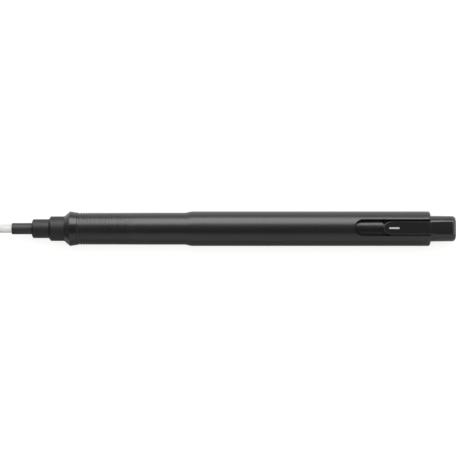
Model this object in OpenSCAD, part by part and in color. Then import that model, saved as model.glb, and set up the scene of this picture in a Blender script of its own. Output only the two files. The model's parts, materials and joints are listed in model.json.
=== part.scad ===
// Click-action eraser pen. A push button at the rear moves a slotted collet that feeds a soft round eraser core.
// The pen lies along X with its tip towards -X, and the slot in the barrel faces up.
// Inside the modules, stations run along the axis from the mouth of the tip sleeve (0) towards the button.

/* [Eraser core] */
// Diameter of the eraser core
core_d = 2.5; // [2.3:0.1:2.7]
// Length of a fresh core
core_length = 88; // [60:1:100]
// How far the core stands out of the tip
core_out = 4; // [1:0.5:8]
// Rounding of the core's two end edges
core_edge = 0.2; // [0.05:0.05:0.5]

/* [Tip sleeve] */
// Wall of the thin tip sleeve
sleeve_wall = 0.33; // [0.3:0.01:0.5]
// Radial gap between the core and the sleeve
sleeve_gap = 0.12; // [0.05:0.01:0.15]
// Length of sleeve that shows ahead of the nose
sleeve_out = 6.1; // [5:0.1:7]
// Rounding of the sleeve's front edge
sleeve_edge = 0.25; // [0.1:0.05:0.3]

/* [Nose cone] */
// Diameter of the step behind the sleeve
front_step_d = 5.7; // [5:0.1:6.4]
// Length of the step behind the sleeve
front_step_length = 5.05; // [4:0.05:6]
// Diameter of the last step before the cone
rear_step_d = 7.4; // [7:0.1:8]
// Length of the last step before the cone
rear_step_length = 4.15; // [3.5:0.05:5]
// Chamfer on the front edge of each step
step_chamfer = 0.45; // [0.1:0.05:0.6]
// Length over which the nose flares out to the collar
flare_length = 2.3; // [1.8:0.1:3]
// Slope of the flare where it meets the collar, in degrees
flare_angle = 45; // [40:1:50]
// Diameter of the collar at its peak
collar_d = 10.4; // [10.2:0.1:10.8]
// Width of the small land on the collar's peak
collar_land = 0.2; // [0.1:0.05:0.4]
// Length of the collar behind its peak, down to the seam
collar_length = 2.1; // [1.5:0.1:3]
// Diameter of the collar at the seam
collar_rear_d = 9.75; // [9.6:0.05:10]
// Length of the screw-in spigot behind the seam
spigot_length = 7.2; // [6.8:0.1:8.5]
// Diameter of the bore that the jaws open in
jaw_room_d = 5.2; // [5:0.1:5.3]
// Length of the narrow lip between the sleeve and the brake
lip_length = 1.1; // [0.8:0.1:1.5]
// Radial gap between the core and the lip
lip_gap = 0.2; // [0.1:0.05:0.3]
// Chamfer on both edges of the seam between nose and barrel
seam_chamfer = 0.15; // [0.05:0.05:0.2]

/* [Core brake and seal] */
// Length of the rubber brake
brake_length = 3.4; // [2.5:0.1:4]
// Depth of the groove round the brake
brake_groove = 0.35; // [0.1:0.05:0.6]
// Section of the rubber seal ring
seal_section = 0.7; // [0.5:0.05:0.8]
// Gap between the seal ring and the walls round it
seal_gap = 0.03; // [0.02:0.01:0.05]
// Distance from the seam to the seal's groove
seal_inset = 0.3; // [0.2:0.05:0.5]

/* [Barrel] */
// Diameter of the plain barrel
barrel_d = 10.4; // [10.2:0.1:11]
// Length of the barrel from the seam to its rear end
barrel_length = 106; // [98:1:115]
// Rounding of the barrel's rear edge
barrel_edge = 0.65; // [0.3:0.05:0.9]
// Diameter of the waist, and the middle of the ribs
waist_d = 9.6; // [9.4:0.05:9.8]
// Distance from one grip rib to the next
rib_pitch = 0.81; // [0.7:0.01:0.9]
// Number of grip ribs
rib_count = 26; // [10:1:28]
// Depth of the first groove, which fades to none at the last
rib_depth = 0.26; // [0.1:0.02:0.3]
// Plain margin between the seam and the first rib
rib_margin = 0.35; // [0.2:0.05:1]
// Length of the smooth waist behind the ribs
waist_length = 10.7; // [8:0.1:14]
// Length of the soft ramp from the waist to the barrel
ramp_length = 2.55; // [2:0.05:4]
// Length of the web inside the barrel that backs the bush and spring
web_length = 2.1; // [1.5:0.1:3]

/* [Push button] */
// Travel of the button
stroke = 7; // [6:0.1:7.4]
// How far the button still stands out when it is pressed home
button_proud = 0.65; // [0.4:0.05:2]
// Diameter of the button inside the barrel
button_d = 7.74; // [7.6:0.02:7.9]
// Diameter of the button at its end
button_end_d = 7.6; // [7.4:0.05:7.6]
// Radial running gap between the button and the barrel
slide_gap = 0.08; // [0.05:0.01:0.1]
// Rounding of the button's end edge
button_edge = 1; // [0.5:0.1:1.3]
// Height of the button's flat above the axis
flat_height = 3.47; // [3.4:0.01:3.55]
// Rounding where the flat runs out at the button's end
flat_runout = 1.15; // [0.5:0.05:1.5]
// Thickness of the button's end wall
button_wall = 1.5; // [1:0.1:3]
// Width of the key tongue
tongue_w = 4.34; // [4:0.02:4.6]
// Gap on each side of the tongue in its slot
key_gap = 0.36; // [0.2:0.02:0.5]
// Length of tongue from its tip to the barrel's rear end
tongue_reach = 14.2; // [11:0.1:18]
// Slot that is left ahead of the tongue when the button is pressed home
slot_spare = 1.4; // [0.5:0.1:3]
// Length of the button's spigot inside the carrier tube
plug_length = 6; // [4.5:0.1:9]

/* [Index mark] */
// Length of the dash on the tongue
mark_length = 3.2; // [2:0.1:5]
// Width of the dash
mark_width = 0.6; // [0.4:0.05:1]
// Depth of the dash's pocket
mark_depth = 0.25; // [0.15:0.05:0.4]
// How far the dash stands above the tongue
mark_proud = 0.02; // [0.01:0.01:0.05]
// Distance from the tongue's tip to the dash
mark_inset = 1.75; // [1.5:0.05:4]

/* [Tubes] */
// Radial running gap between the carrier tube and the barrel
carrier_gap = 0.1; // [0.06:0.01:0.15]
// Wall of the carrier tube
carrier_wall = 0.6; // [0.5:0.05:0.7]
// Gap between the carrier tube's end and the tongue's tip
carrier_end_gap = 0.25; // [0.1:0.05:0.5]
// Radial gap between the core and the guide tube
guide_gap = 0.15; // [0.1:0.01:0.2]
// Wall of the guide tube
guide_wall = 0.45; // [0.35:0.05:0.5]
// Wall of the ring that centres the guide tube in the button
centring_wall = 0.6; // [0.45:0.05:0.7]
// Length of that ring
centring_length = 4; // [2:0.1:4.5]

/* [Collet and clutch] */
// Diameter of the collet's head
head_d = 4.6; // [4.4:0.05:4.7]
// Length of the plain rim ahead of the collet's cone
head_length = 0.5; // [0.3:0.1:1]
// Radial gap between the core and the collet's grip
grip_gap = 0.02; // [0.01:0.01:0.03]
// Length of the grip in the collet's bore
grip_length = 5.6; // [4:0.1:8]
// Number of slots that part the collet's jaws
jaw_count = 3; // [2:1:4]
// Width of each slot
jaw_slot = 0.45; // [0.3:0.05:0.6]
// Length of the slots
jaw_slot_length = 15.6; // [10:0.1:18]
// Length of the clutch ring
ring_length = 3; // [2.4:0.1:3.4]
// Outside diameter of the clutch ring
ring_d = 5.8; // [5.6:0.05:5.9]
// How far the clutch ring travels before it meets its stop
ring_throw = 2; // [1:0.1:2.3]
// Gap between the ring's cone and the collet's cone
cone_gap = 0.03; // [0.02:0.01:0.06]
// Radial gap between the ring and the nose
ring_side_gap = 0.1; // [0.05:0.01:0.15]
// Gap between the ring and the bush at rest
ring_back_gap = 0.05; // [0.03:0.01:0.1]
// Gap that is left ahead of the jaws when the button is pressed home
jaw_end_gap = 0.4; // [0.2:0.05:0.8]

/* [Bush and spring] */
// Length of the bush's boss inside the nose
boss_length = 0.95; // [0.6:0.05:1.5]
// Length of the bush's flange
flange_length = 2; // [1.5:0.1:3]
// Diameter of the bush's tail, which fits the web
tail_d = 6.3; // [6:0.05:6.5]
// Radial gap between fixed parts that are fitted into each other
seat_gap = 0.05; // [0.02:0.01:0.08]
// Radial gap between the collet's shank and the bush
shank_gap = 0.15; // [0.1:0.01:0.2]
// Length of the small spigots that centre the spring
centre_length = 1.2; // [0.8:0.1:2]
// Thickness of the spring washer
washer_length = 0.3; // [0.2:0.05:0.5]
// Outside diameter of the spring washer
washer_d = 7; // [6.8:0.05:7.4]
// Diameter of the spring's wire
wire_d = 0.45; // [0.35:0.05:0.5]
// Mean diameter of the spring's coil
coil_d = 5.75; // [5.6:0.05:6]
// Length of the spring at rest
spring_length = 14.7; // [13.5:0.1:18]
// Number of open turns
spring_turns = 7; // [5:1:9]

/* [Coupling] */
// Length of the coupling's front spigot round the collet's tail
coupling_front = 2.5; // [1.5:0.1:4]
// Length of the coupling's flange
coupling_flange = 1.5; // [1:0.1:3]
// Length of the coupling's plug in the carrier tube
coupling_plug = 5; // [3:0.1:8]
// Length of the collet's tail behind the coupling's front face
tail_length = 4.5; // [3:0.1:6]

/* [Hidden] */

// Smoothness of turned shapes, of the coil's round and its wire, and of the seal's section
$fn = 96;
arc_steps = 8;
coil_steps = 24;
wire_sides = 6;
seal_sides = 32;
// Points that draw one rib, and points that draw the ramp
rib_points = 6;
ramp_points = 10;
// How far a cutting shape runs past the face that it opens
over = 1;

// Colours
black_plastic = [0.14, 0.14, 0.145];
black_metal = [0.16, 0.16, 0.165];
dark_rubber = [0.1, 0.1, 0.1];
brass = [0.78, 0.62, 0.32];
steel = [0.72, 0.73, 0.75];
clear_plastic = [0.86, 0.87, 0.86];
white_print = [0.85, 0.85, 0.84];
eraser_white = [0.92, 0.92, 0.91];

// Diameters that follow from what runs inside
sleeve_bore = core_d + 2 * sleeve_gap;
sleeve_d = sleeve_bore + 2 * sleeve_wall;
grip_bore = core_d + 2 * grip_gap;
guide_bore = core_d + 2 * guide_gap;
guide_d = guide_bore + 2 * guide_wall;
button_bore = guide_d + 2 * centring_wall;
barrel_bore = button_d + 2 * slide_gap;
carrier_d = barrel_bore - 2 * carrier_gap;
carrier_bore = carrier_d - 2 * carrier_wall;
slot_w = tongue_w + 2 * key_gap;
spigot_d = barrel_bore - 2 * seat_gap;
ring_room_d = ring_d + 2 * ring_side_gap;
web_bore = tail_d + 2 * seat_gap;
bush_bore = guide_d + 2 * shank_gap;
coil_inside = coil_d - wire_d;
centre_d = coil_inside - 2 * seat_gap;
seal_ring_r = barrel_bore / 2 - seal_gap - seal_section / 2;
seal_floor_d = 2 * (seal_ring_r - seal_section / 2 - seal_gap);

// Stations of the outside, from the sleeve's mouth
rear_step = sleeve_out + front_step_length;
flare = rear_step + rear_step_length;
collar = flare + flare_length;
seam = collar + collar_length;
ribs = seam + rib_margin;
waist = ribs + rib_count * rib_pitch;
ramp = waist + waist_length;
plain = ramp + ramp_length;
barrel_rear = seam + barrel_length;
button_end = barrel_rear + stroke + button_proud;
tongue_tip = barrel_rear - tongue_reach;
slot_front = tongue_tip - stroke - slot_spare;
overall_length = core_out + button_end;

// The flare is tangent to the step, then straight at its slope up to the collar
flare_rise = (collar_d - rear_step_d) / 2;
flare_r = (flare_length - flare_rise / tan(flare_angle)) / tan(flare_angle / 2);

// Stations of the clutch, from the seam
spigot_rear = seam + spigot_length;
bush_front = spigot_rear - boss_length;
ring_rear = bush_front - ring_back_gap;
ring_front = ring_rear - ring_length;
ring_stop = ring_front - ring_throw;
chuck_front = ring_front - head_length;
brake_rear = chuck_front - stroke - jaw_end_gap;
brake_front = brake_rear - brake_length;
sleeve_rear = brake_front - lip_length;
web_front = spigot_rear + flange_length;
web_rear = web_front + web_length;
spring_front = web_rear + washer_length;
spring_rear = spring_front + spring_length;
tail_end = spring_rear - coupling_front + tail_length;
carrier_front = spring_rear + coupling_flange;

// Stations of the button's inside, from the tongue's tip
carrier_rear = tongue_tip - carrier_end_gap;
plug_front = carrier_rear - plug_length;
body_front = tongue_tip + tongue_w / 2 + carrier_end_gap;
guide_rear = plug_front + centring_length;

// Moves a piece from the pen's own axis to where the pen rests on the ground, centred on its length
module place() {
    translate([core_out - overall_length / 2, 0, barrel_d / 2]) children();
}

// Round bar along the axis between two stations
module rod(d, from, to) {
    translate([from, 0, 0]) rotate([0, 90, 0]) cylinder(d = d, h = to - from);
}

// Cone along the axis between two stations
module taper(d_from, d_to, from, to) {
    translate([from, 0, 0]) rotate([0, 90, 0]) cylinder(d1 = d_from, d2 = d_to, h = to - from);
}

// Solid of revolution whose outline is a list of [station, radius]
module turned(outline) {
    rotate([0, 90, 0]) rotate_extrude() polygon([for (p = outline) [p[1], p[0]]]);
}

// Points on an arc about [station, radius], by angle from the pen's direction
function arc(station, radius, r, from, to) =
    [for (i = [0:arc_steps]) let (a = from + (to - from) * i / arc_steps)
        [station + r * cos(a), radius + r * sin(a)]];

// Ribs that fade out: a wave about the waist, one step higher for its crest and one lower for its groove
function rib_wave() =
    [for (i = [0:rib_count * rib_points - 1])
        let (t = i / (rib_count * rib_points))
        [ribs + i * rib_pitch / rib_points,
         waist_d / 2 + rib_depth / 2 * (1 - t) * cos(360 * i / rib_points)]];

// Soft S from the waist up to the barrel
function ramp_curve() =
    [for (i = [0:ramp_points])
        [ramp + ramp_length * i / ramp_points,
         waist_d / 2 + (barrel_d - waist_d) / 4 * (1 - cos(180 * i / ramp_points))]];

// What opens the barrel's slot, from its round front end to the barrel's rear
module slot_opening() {
    translate([slot_front + slot_w / 2, 0, 0]) cylinder(d = slot_w, h = barrel_d);
    translate([slot_front + slot_w / 2, -slot_w / 2, 0]) cube([barrel_rear - slot_front, slot_w, barrel_d]);
}

module barrel() {
    color(black_plastic) place() difference() {
        turned(concat(
            [[seam, 0], [seam, waist_d / 2 - seam_chamfer], [seam + seam_chamfer, waist_d / 2]],
            rib_wave(),
            [[waist, waist_d / 2]],
            ramp_curve(),
            arc(barrel_rear - barrel_edge, barrel_d / 2 - barrel_edge, barrel_edge, 90, 0),
            [[barrel_rear, 0]]
        ));
        rod(barrel_bore, seam - over, web_front);
        rod(web_bore, web_front - over, web_rear + over);
        rod(barrel_bore, web_rear, barrel_rear + over);
        slot_opening();
    }
}

module nose_cone() {
    front_r = front_step_d / 2;
    rear_r = rear_step_d / 2;
    groove_front = seam + seal_inset;
    groove_rear = groove_front + seal_section + 2 * seal_gap;
    color(black_plastic) place() difference() {
        turned(concat(
            [[sleeve_out, 0], [sleeve_out, front_r - step_chamfer], [sleeve_out + step_chamfer, front_r],
             [rear_step, front_r], [rear_step, rear_r - step_chamfer], [rear_step + step_chamfer, rear_r]],
            arc(flare, rear_r + flare_r, flare_r, -90, flare_angle - 90),
            [[collar - collar_land / 2, collar_d / 2], [collar + collar_land / 2, collar_d / 2],
             [seam - seam_chamfer, collar_rear_d / 2], [seam, collar_rear_d / 2 - seam_chamfer],
             [seam, spigot_d / 2], [groove_front, spigot_d / 2], [groove_front, seal_floor_d / 2],
             [groove_rear, seal_floor_d / 2], [groove_rear, spigot_d / 2], [spigot_rear, spigot_d / 2],
             [spigot_rear, 0]]
        ));
        rod(sleeve_d, sleeve_out - over, sleeve_rear);
        rod(core_d + 2 * lip_gap, sleeve_rear - over, brake_front + over);
        rod(jaw_room_d, brake_front, ring_stop + over);
        rod(ring_room_d, ring_stop, spigot_rear + over);
    }
}

module tip_sleeve() {
    color(black_metal) place() turned(concat(
        [[sleeve_rear, sleeve_bore / 2], [0, sleeve_bore / 2]],
        arc(sleeve_edge, sleeve_d / 2 - sleeve_edge, sleeve_edge, 180, 90),
        [[sleeve_rear, sleeve_d / 2]]
    ));
}

module core_brake() {
    land = brake_length / 4;
    funnel = jaw_room_d / 2 - brake_groove - grip_bore / 2 - sleeve_wall;
    color(dark_rubber) place() turned([
        [brake_front, grip_bore / 2], [brake_front, jaw_room_d / 2], [brake_front + land, jaw_room_d / 2],
        [brake_front + land, jaw_room_d / 2 - brake_groove], [brake_rear - land, jaw_room_d / 2 - brake_groove],
        [brake_rear - land, jaw_room_d / 2], [brake_rear, jaw_room_d / 2],
        [brake_rear, grip_bore / 2 + funnel], [brake_rear - funnel, grip_bore / 2]
    ]);
}

module nose_seal() {
    centre = seam + seal_inset + seal_gap + seal_section / 2;
    color(dark_rubber) place() translate([centre, 0, 0]) rotate([0, 90, 0])
        rotate_extrude() translate([seal_ring_r, 0]) circle(d = seal_section, $fn = seal_sides);
}

module chuck_bush() {
    color(brass) place() difference() {
        union() {
            rod(ring_d, bush_front, spigot_rear);
            rod(spigot_d, spigot_rear, web_front);
            rod(tail_d, web_front, web_rear);
            rod(centre_d, web_rear, spring_front + centre_length);
        }
        rod(bush_bore, bush_front - over, spring_front + centre_length + over);
    }
}

module spring_washer() {
    color(steel) place() difference() {
        rod(washer_d, web_rear, spring_front);
        rod(centre_d + 2 * seat_gap, web_rear - over, spring_front + over);
    }
}

// How far along its length the wire lies after so many turns: a closed turn at each end, open ones between
function coil_climb(turn) =
    let (open = (spring_length - 3 * wire_d) / spring_turns)
    wire_d / 2 + wire_d * min(turn, 1) + open * max(0, min(turn - 1, spring_turns))
        + wire_d * max(0, turn - 1 - spring_turns);

module return_spring() {
    rings = (spring_turns + 2) * coil_steps;
    points = [for (i = [0:rings], k = [0:wire_sides - 1])
        let (a = 360 * i / coil_steps, w = 360 * k / wire_sides, r = coil_d / 2 + wire_d / 2 * cos(w))
        [spring_front + coil_climb(i / coil_steps) + wire_d / 2 * sin(w), r * cos(a), r * sin(a)]];
    sides = [for (i = [0:rings - 1], k = [0:wire_sides - 1])
        let (here = i * wire_sides, next = here + wire_sides, k2 = (k + 1) % wire_sides)
        [here + k, next + k, next + k2, here + k2]];
    front_cap = [for (k = [0:wire_sides - 1]) k];
    rear_cap = [for (k = [wire_sides - 1:-1:0]) rings * wire_sides + k];
    color(steel) place() polyhedron(points, concat(sides, [front_cap, rear_cap]), convexity = 10);
}

module clutch_ring() {
    color(brass) place() difference() {
        rod(ring_d, ring_front, ring_rear);
        taper(head_d + 2 * cone_gap, guide_d + 2 * cone_gap, ring_front, ring_rear);
    }
}

module chuck() {
    color(brass) place() difference() {
        union() {
            rod(head_d, chuck_front, ring_front);
            taper(head_d, guide_d, ring_front, ring_rear);
            rod(guide_d, ring_rear, tail_end);
        }
        rod(grip_bore, chuck_front - over, chuck_front + grip_length);
        rod(guide_bore, chuck_front + grip_length, tail_end + over);
        for (i = [0:jaw_count - 1]) rotate([360 * i / jaw_count, 0, 0])
            translate([chuck_front - over, -jaw_slot / 2, 0]) cube([jaw_slot_length + over, jaw_slot, head_d]);
    }
}

module chuck_coupling() {
    color(clear_plastic) place() difference() {
        union() {
            rod(centre_d, spring_rear - coupling_front, spring_rear);
            rod(carrier_d, spring_rear, carrier_front);
            rod(carrier_bore, carrier_front, carrier_front + coupling_plug);
        }
        rod(guide_d, spring_rear - coupling_front - over, carrier_front + coupling_plug + over);
    }
}

module guide_tube() {
    color(clear_plastic) place() difference() {
        rod(guide_d, tail_end, guide_rear);
        rod(guide_bore, tail_end - over, guide_rear + over);
    }
}

module carrier_tube() {
    color(black_plastic) place() difference() {
        rod(carrier_d, carrier_front, carrier_rear);
        rod(carrier_bore, carrier_front - over, carrier_rear + over);
    }
}

module centring_ring() {
    color(clear_plastic) place() difference() {
        rod(button_bore, plug_front, guide_rear);
        rod(guide_d, plug_front - over, guide_rear + over);
    }
}

// What is taken off above the flat, with the rounded run-out at the button's end
module above_flat() {
    runout = button_end - flat_runout;
    translate([plug_front, -barrel_d / 2, flat_height]) cube([button_end - plug_front + over, barrel_d, barrel_d]);
    difference() {
        translate([runout, -barrel_d / 2, flat_height - flat_runout]) cube([flat_runout + over, barrel_d, barrel_d]);
        translate([runout, barrel_d / 2 + over, flat_height - flat_runout])
            rotate([90, 0, 0]) cylinder(r = flat_runout, h = barrel_d + 2 * over);
    }
}

// The key tongue seen from above, from its round tip to the barrel's rear end
module tongue_outline() {
    translate([tongue_tip + tongue_w / 2, 0]) circle(d = tongue_w);
    translate([tongue_tip + tongue_w / 2, -tongue_w / 2]) square([tongue_reach - tongue_w / 2 - key_gap, tongue_w]);
}

module mark_pocket(height) {
    translate([tongue_tip + mark_inset, -mark_width / 2, flat_height - mark_depth])
        cube([mark_length, mark_width, height]);
}

module push_button() {
    color(black_plastic) place() difference() {
        union() {
            rod(carrier_bore, plug_front, body_front + over);
            rod(button_d, body_front, barrel_rear);
            turned(concat(
                [[barrel_rear - over, 0], [barrel_rear - over, button_d / 2], [barrel_rear, button_d / 2]],
                arc(button_end - button_edge, button_end_d / 2 - button_edge, button_edge, 90, 0),
                [[button_end, 0]]
            ));
            linear_extrude(height = flat_height) tongue_outline();
        }
        rod(button_bore, plug_front - over, button_end - button_wall);
        above_flat();
        mark_pocket(mark_depth + over);
    }
}

module index_mark() {
    color(white_print) place() mark_pocket(mark_depth + mark_proud);
}

module eraser_core() {
    color(eraser_white) place() turned(concat(
        [[-core_out, 0]],
        arc(core_edge - core_out, core_d / 2 - core_edge, core_edge, 180, 90),
        arc(core_length - core_out - core_edge, core_d / 2 - core_edge, core_edge, 90, 0),
        [[core_length - core_out, 0]]
    ));
}

barrel();
nose_cone();
tip_sleeve();
core_brake();
nose_seal();
chuck_bush();
spring_washer();
return_spring();
clutch_ring();
chuck();
chuck_coupling();
guide_tube();
carrier_tube();
centring_ring();
push_button();
index_mark();
eraser_core();
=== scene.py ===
"""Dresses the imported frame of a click-action eraser pen.

The pen lies along X on a pale floor with its tip towards -X and the slot in its barrel facing up. Outlines
are in millimetres: a station counts along the pen's axis from the mouth of the tip sleeve towards the button,
and a radius counts from that axis. A buffer is how far from an edge a further ring of points stands, so that
the edge's wear doesn't spread over the long face beside it.
"""

import json
import logging
import math
from collections.abc import Callable
from dataclasses import dataclass
from enum import Enum

import bpy
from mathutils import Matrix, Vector

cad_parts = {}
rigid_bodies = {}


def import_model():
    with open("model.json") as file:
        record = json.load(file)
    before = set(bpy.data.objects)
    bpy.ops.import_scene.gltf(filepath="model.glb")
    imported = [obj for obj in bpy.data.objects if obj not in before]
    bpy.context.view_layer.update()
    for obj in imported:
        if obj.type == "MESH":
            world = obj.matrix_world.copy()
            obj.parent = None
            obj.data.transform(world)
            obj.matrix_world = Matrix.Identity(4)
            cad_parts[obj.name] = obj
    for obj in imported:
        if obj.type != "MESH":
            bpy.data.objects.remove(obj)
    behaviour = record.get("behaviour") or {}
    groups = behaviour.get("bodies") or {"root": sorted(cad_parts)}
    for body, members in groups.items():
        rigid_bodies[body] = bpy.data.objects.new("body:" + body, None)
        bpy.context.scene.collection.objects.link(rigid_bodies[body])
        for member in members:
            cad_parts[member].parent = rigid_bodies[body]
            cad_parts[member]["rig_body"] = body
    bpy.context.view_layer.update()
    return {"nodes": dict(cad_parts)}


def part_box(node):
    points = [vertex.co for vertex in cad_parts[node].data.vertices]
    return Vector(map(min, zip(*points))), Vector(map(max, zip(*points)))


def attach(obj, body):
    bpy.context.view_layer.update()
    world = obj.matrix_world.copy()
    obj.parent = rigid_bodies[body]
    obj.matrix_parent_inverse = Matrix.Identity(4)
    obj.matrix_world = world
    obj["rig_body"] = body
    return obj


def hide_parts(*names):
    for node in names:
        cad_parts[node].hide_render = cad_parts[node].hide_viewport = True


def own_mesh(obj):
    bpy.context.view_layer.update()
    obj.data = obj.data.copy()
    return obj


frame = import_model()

MM = 0.001
MOUTH_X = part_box("tip_sleeve")[0].x
AXIS_Z = (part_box("barrel")[0].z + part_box("barrel")[1].z) / 2
WEAR = "handling"
# How far a place may be off where an edge is looked for, and how close two points are that get merged
SLACK = 0.01
DOUBLE = 0.0005
# How far a tool shape stands past what it cuts
REACH = 1.0
# Values that Blender's noise mostly stays between
NOISE_SPAN = (0.3, 0.7)

log = logging.getLogger("eraser_pen")

Outline = list[tuple[float, float]]
Point = tuple[float, float, float]
Piece = bpy.types.Object
Material = bpy.types.Material
Tree = bpy.types.NodeTree
Node = bpy.types.Node
Socket = bpy.types.NodeSocket


# Places and outlines


def station(x: float) -> float:
    """Station in millimetres of a place on the frame's X axis in metres."""
    return (x - MOUTH_X) / MM


def front_of(node: str) -> float:
    """Station of a frame node's front end."""
    return station(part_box(node)[0].x)


def rear_of(node: str) -> float:
    """Station of a frame node's rear end."""
    return station(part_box(node)[1].x)


def radius_of(node: str) -> float:
    """Largest radius of a frame node, in millimetres, from its width."""
    low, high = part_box(node)
    return (high.y - low.y) / 2 / MM


def place(point: Point) -> Vector:
    """Turn a place on the pen into one in the frame.

    Args:
        point: Station, and millimetres sideways and upwards from the pen's axis.

    Returns:
        The same place in metres.
    """
    return Vector((MOUTH_X + point[0] * MM, point[1] * MM, AXIS_Z + point[2] * MM))


def arc(centre: tuple[float, float], radius: float, start: float, end: float, steps: int = 8) -> Outline:
    """Points on an arc of an outline.

    Args:
        centre: Station and radius of the arc's centre.
        radius: The arc's own radius.
        start: Angle of the first point, in degrees from the pen's rearward direction.
        end: Angle of the last point.
        steps: Number of stretches that the arc is drawn in.

    Returns:
        The arc's points, both ends among them.
    """
    turn = [math.radians(start + (end - start) * i / steps) for i in range(steps + 1)]
    return [(centre[0] + radius * math.cos(a), centre[1] + radius * math.sin(a)) for a in turn]


# Modelling


def set_mode(mode: str) -> None:
    """Switch the active object between OBJECT and EDIT."""
    bpy.ops.object.mode_set(mode=mode)


def take(piece: Piece) -> Piece:
    """Deselect everything, then select a piece and make it the active one.

    Args:
        piece: The piece that is taken in hand.

    Returns:
        The piece.
    """
    bpy.ops.object.select_all(action="DESELECT")
    piece.select_set(True)
    bpy.context.view_layer.objects.active = piece
    return piece


def drawn(name: str, points: list[Point]) -> Piece:
    """Draw a closed line through points, by extruding a single vertex from one to the next.

    Args:
        name: Name of the new object.
        points: Places on the pen, in order round the outline.

    Returns:
        The object, in edit mode, with its whole line selected.
    """
    corners = [place(p) for p in points]
    bpy.ops.object.select_all(action="DESELECT")
    bpy.ops.mesh.primitive_plane_add(size=MM, location=(0, 0, 0))
    piece = bpy.context.active_object
    piece.name = piece.data.name = name
    set_mode("EDIT")
    bpy.ops.mesh.select_mode(type="VERT")
    bpy.ops.mesh.select_all(action="SELECT")
    bpy.ops.mesh.merge(type="CENTER")
    bpy.ops.transform.translate(value=corners[0])
    for here, there in zip(corners, corners[1:]):
        bpy.ops.mesh.extrude_vertices_move(TRANSFORM_OT_translate={"value": there - here})
    set_mode("OBJECT")
    ends = (0, len(corners) - 1)
    for vertex in piece.data.vertices:
        vertex.select = vertex.index in ends
    set_mode("EDIT")
    bpy.ops.mesh.edge_face_add()
    bpy.ops.mesh.select_all(action="SELECT")
    return piece


def close_up(smooth_angle: float = 35.0) -> Piece:
    """Merge doubles, point the faces outwards and shade the active mesh smooth up to an angle.

    Args:
        smooth_angle: Edges sharper than this many degrees stay crisp.

    Returns:
        The active object, back in object mode.
    """
    piece = bpy.context.active_object
    if piece.mode != "EDIT":
        set_mode("EDIT")
    bpy.ops.mesh.select_all(action="SELECT")
    bpy.ops.mesh.remove_doubles(threshold=DOUBLE * MM)
    bpy.ops.mesh.normals_make_consistent(inside=False)
    bpy.ops.mesh.select_all(action="DESELECT")
    set_mode("OBJECT")
    take(piece)
    bpy.ops.object.shade_smooth_by_angle(angle=math.radians(smooth_angle))
    return piece


def turned(name: str, outline: Outline, steps: int = 96) -> Piece:
    """Turn an outline into a closed solid of revolution, as on a lathe.

    Args:
        name: Name of the new piece.
        outline: Stations and radii round the section of the wall. A section that reaches the axis ends on it.
        steps: Number of faces round the pen.

    Returns:
        The piece, in object mode.
    """
    drawn(name, [(s, 0.0, r) for s, r in outline])
    bpy.ops.mesh.spin(steps=steps, angle=math.tau, center=place((0, 0, 0)), axis=(1, 0, 0))
    return close_up()


def prism(name: str, points: list[Point], depth: Point) -> Piece:
    """Fill an outline and push it along a direction into a closed block.

    Args:
        name: Name of the new piece.
        points: Places on the pen, in order round the outline.
        depth: How far the outline is pushed, in millimetres.

    Returns:
        The piece, in object mode.
    """
    drawn(name, points)
    bpy.ops.mesh.edge_face_add()
    bpy.ops.mesh.extrude_region_move(TRANSFORM_OT_translate={"value": Vector(depth) * MM})
    return close_up()


class Cut(Enum):
    """How a tool shape acts on a piece."""

    AWAY = "DIFFERENCE"
    ONTO = "UNION"


def carve(piece: Piece, tool: Piece, cut: Cut) -> Piece:
    """Cut a tool shape out of a piece, or weld it on, and take the tool away.

    Args:
        piece: The piece that is worked on.
        tool: The shape that it is worked with.
        cut: Whether the shape is taken away or added.

    Returns:
        The piece.
    """
    take(piece)
    modifier = piece.modifiers.new(cut.name.title(), "BOOLEAN")
    modifier.operation = cut.value
    modifier.solver = "EXACT"
    modifier.object = tool
    bpy.ops.object.modifier_apply(modifier=modifier.name)
    bpy.data.objects.remove(tool)
    return piece


def soften(piece: Piece, width: float, segments: int, where: Callable[[Vector], bool],
           sharper_than: float = 20.0) -> Piece:
    """Round off sharp edges with a small bevel.

    Args:
        piece: The piece that is worked on.
        width: Width of the bevel on each side of the edge, in millimetres.
        segments: Number of faces across the bevel.
        where: Says for an edge's ends and middle, in millimetres on the pen, whether the edge is rounded.
        sharper_than: Least angle of an edge that is rounded, in degrees.

    Returns:
        The piece.
    """
    take(piece)
    set_mode("EDIT")
    bpy.ops.mesh.select_mode(type="EDGE")
    bpy.ops.mesh.select_all(action="DESELECT")
    bpy.ops.mesh.edges_select_sharp(sharpness=math.radians(sharper_than))
    set_mode("OBJECT")
    mesh = piece.data
    chosen = set()
    for edge in mesh.edges:
        a, b = (on_pen(mesh.vertices[v].co) for v in edge.vertices)
        if edge.select and where(a) and where(b) and where((a + b) / 2):
            chosen.add(edge.index)
    for group in (mesh.vertices, mesh.edges, mesh.polygons):
        for part in group:
            part.select = False
    for index in chosen:
        mesh.edges[index].select = True
    set_mode("EDIT")
    bpy.ops.mesh.bevel(offset=width * MM, segments=segments, affect="EDGES", clamp_overlap=True)
    log.info("%s: %d edges rounded by %.2f mm", piece.name, len(chosen), width)
    return close_up()


def settle(piece: Piece) -> Piece:
    """Let big faces keep their own direction where they meet a small bevel.

    Args:
        piece: The piece that is worked on.

    Returns:
        The piece.
    """
    take(piece)
    modifier = piece.modifiers.new("Settle", "WEIGHTED_NORMAL")
    modifier.keep_sharp = True
    bpy.ops.object.modifier_apply(modifier=modifier.name)
    return piece


def on_pen(co: Vector) -> Vector:
    """Station, and millimetres sideways and upwards from the axis, of a place in metres."""
    return Vector((co.x - MOUTH_X, co.y, co.z - AXIS_Z)) / MM


def off_axis(p: Vector) -> float:
    """Distance of a place on the pen from its axis, in millimetres."""
    return math.hypot(p.y, p.z)


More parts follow.
